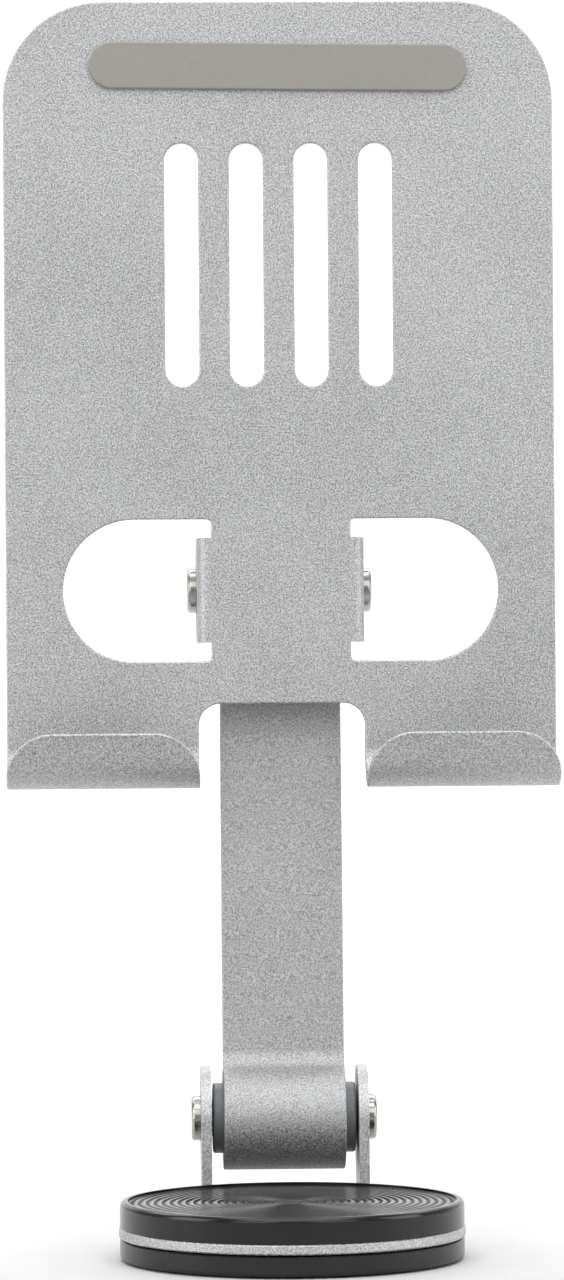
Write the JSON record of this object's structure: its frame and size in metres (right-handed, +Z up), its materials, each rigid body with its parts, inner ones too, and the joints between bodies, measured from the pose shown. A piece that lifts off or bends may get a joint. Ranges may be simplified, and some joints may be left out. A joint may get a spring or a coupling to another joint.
{
  "type": "phone stand",
  "caption": "Folding desk stand: an upright plate with hooked ledges on a pivoting arm over a round weighted swivel base.",
  "frame": {"origin": "centre of the foot's underside, on the table, on the base swivel's axis", "axes": "+X to the stand's left seen from behind (right in a front view), +Y towards the back, +Z up; the phone faces -Y"},
  "size_m": [0.11, 0.0924, 0.2474],
  "materials": {
    "pad_rubber": "matte soft pad",
    "weight_steel": "plain turned steel, hidden",
    "shell_black": "satin black moulding",
    "cover_black": "satin black moulding",
    "washer_black": "thin black friction washer",
    "spring_steel": "plain spring steel",
    "bolt_steel": "zinc plated steel",
    "sheet_metal_base": "fine blasted and anodised",
    "sheet_metal_arm": "fine blasted and anodised",
    "sheet_metal_plate": "fine blasted and anodised",
    "pin_steel": "polished nickel",
    "bush_grey": "slate grey nylon",
    "strip_grey": "warm grey silicone"
  },
  "bodies": {
    "foot": {"foot_pad": "pad_rubber", "foot_weight": "weight_steel", "foot_shell": "shell_black", "thrust_washer": "washer_black", "swivel_spring": "spring_steel"},
    "turntable": {"swivel_bolt": "bolt_steel", "swivel_nut": "bolt_steel", "swivel_plate": "sheet_metal_base", "top_cover": "cover_black", "top_weight": "weight_steel", "cover_screws": "bolt_steel", "lower_pin_sleeve": "pin_steel", "lower_pin_screw": "pin_steel", "lower_washer_left": "washer_black", "lower_washer_right": "washer_black"},
    "arm": {"arm": "sheet_metal_arm", "lower_bush_left": "bush_grey", "lower_bush_right": "bush_grey", "upper_bush_left": "bush_grey", "upper_bush_right": "bush_grey"},
    "holder": {"upper_pin_sleeve": "pin_steel", "upper_pin_screw": "pin_steel", "upper_washer_left": "washer_black", "upper_washer_right": "washer_black", "phone_plate": "sheet_metal_plate", "rest_strip": "strip_grey"}
  },
  "joints": [
    {"name": "base_swivel", "type": "hinge", "parent": "foot", "child": "turntable", "pos_m": [0, 0, 0.0045], "axis": [0, 0, 1], "continuous": true},
    {"name": "arm_hinge", "type": "hinge", "parent": "turntable", "child": "arm", "pos_m": [0, 0.041, 0.0236], "axis": [1, 0, 0], "range_deg": [-25, 78]},
    {"name": "plate_hinge", "type": "hinge", "parent": "arm", "child": "holder", "pos_m": [0, 0.04841, 0.12964], "axis": [1, 0, 0], "range_deg": [-184, 18]}
  ]
}
